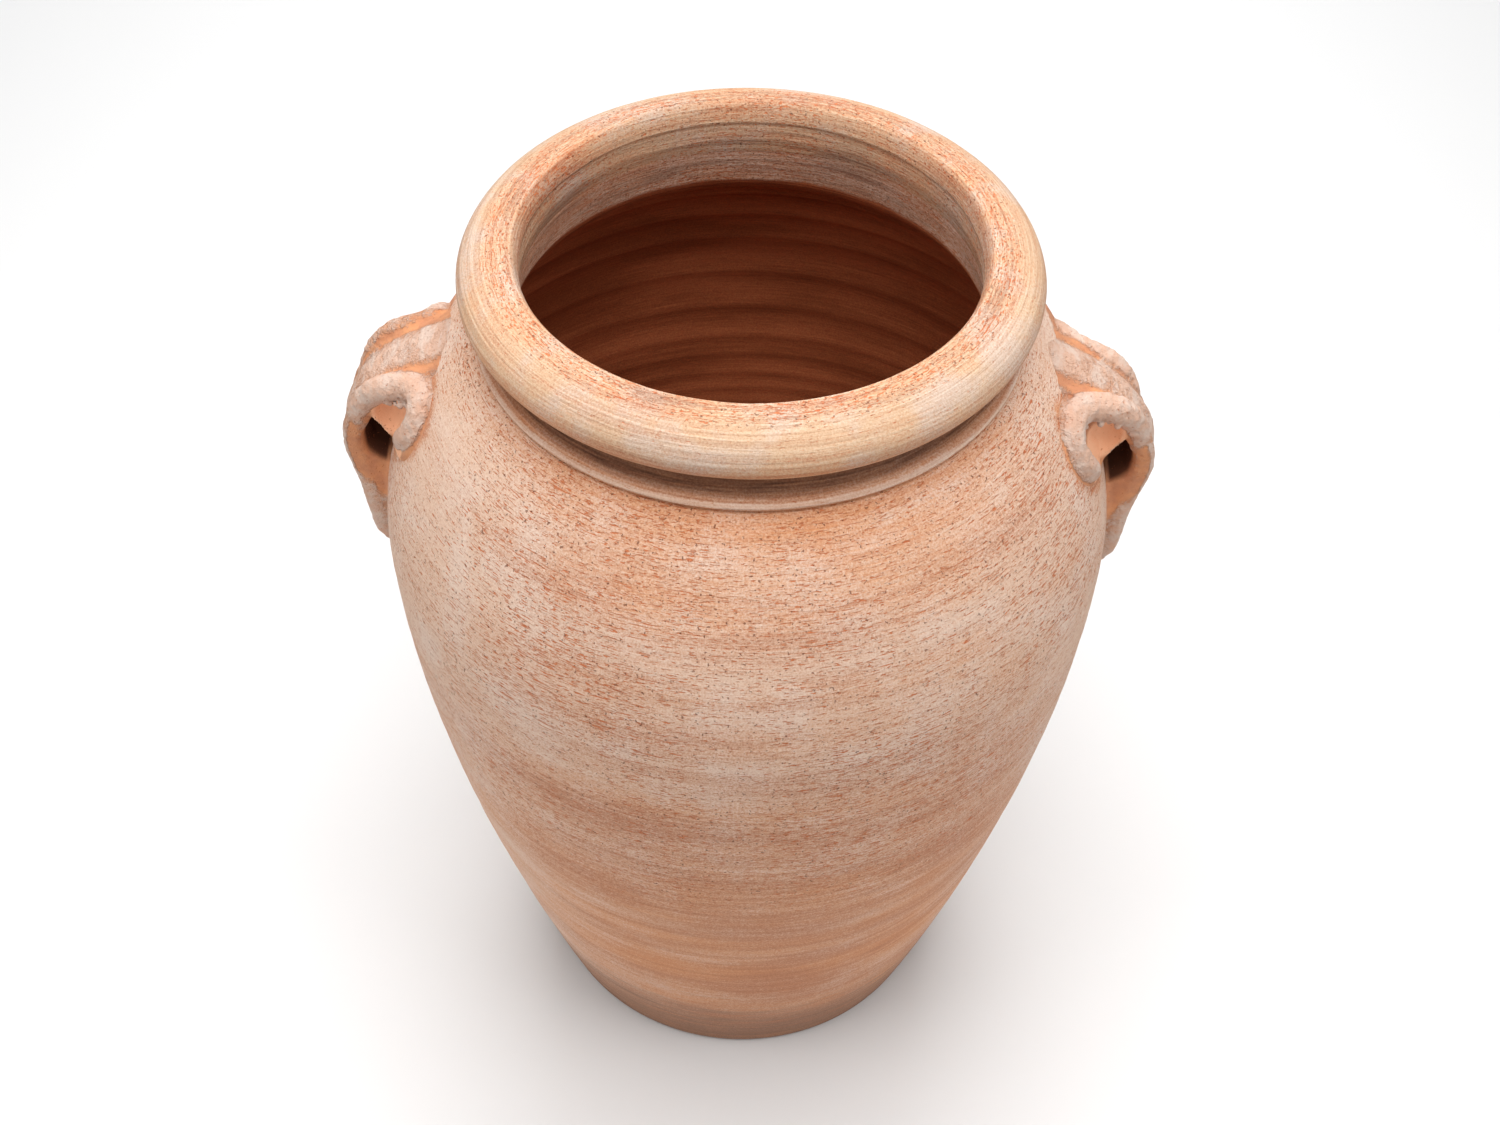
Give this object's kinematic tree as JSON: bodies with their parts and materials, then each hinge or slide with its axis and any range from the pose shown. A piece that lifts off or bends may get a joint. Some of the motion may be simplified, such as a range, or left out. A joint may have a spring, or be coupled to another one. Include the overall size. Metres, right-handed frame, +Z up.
{
  "type": "amphora",
  "caption": "Tall terracotta oil jar with a thick rolled rim, a short ridged neck, an egg-shaped body on a flat base and ribbed ear handles on the shoulder.",
  "frame": {"origin": "middle of the flat base, on the ground", "axes": "+Z up along the jar's axis; the handles stand at +X and -X; -Y is the side the pictured view looks from"},
  "size_m": [0.394, 0.359, 0.502],
  "materials": {
    "clay_body": "matt unglazed terracotta with a pale bloom and turning marks",
    "clay_neck": "matt unglazed terracotta, warmer in the hollow under the rim",
    "clay_rim": "matt unglazed terracotta, cream bloom, smoothed by hand",
    "clay_handle": "matt unglazed terracotta, pale on the ribs and orange in the grooves"
  },
  "bodies": {
    "root": {"base_slab": "clay_body", "lower_wall": "clay_body", "belly_wall": "clay_body", "shoulder_wall": "clay_body", "neck_collar": "clay_neck", "rim_roll": "clay_rim", "handle_left": "clay_handle", "handle_right": "clay_handle"}
  },
  "joints": []
}
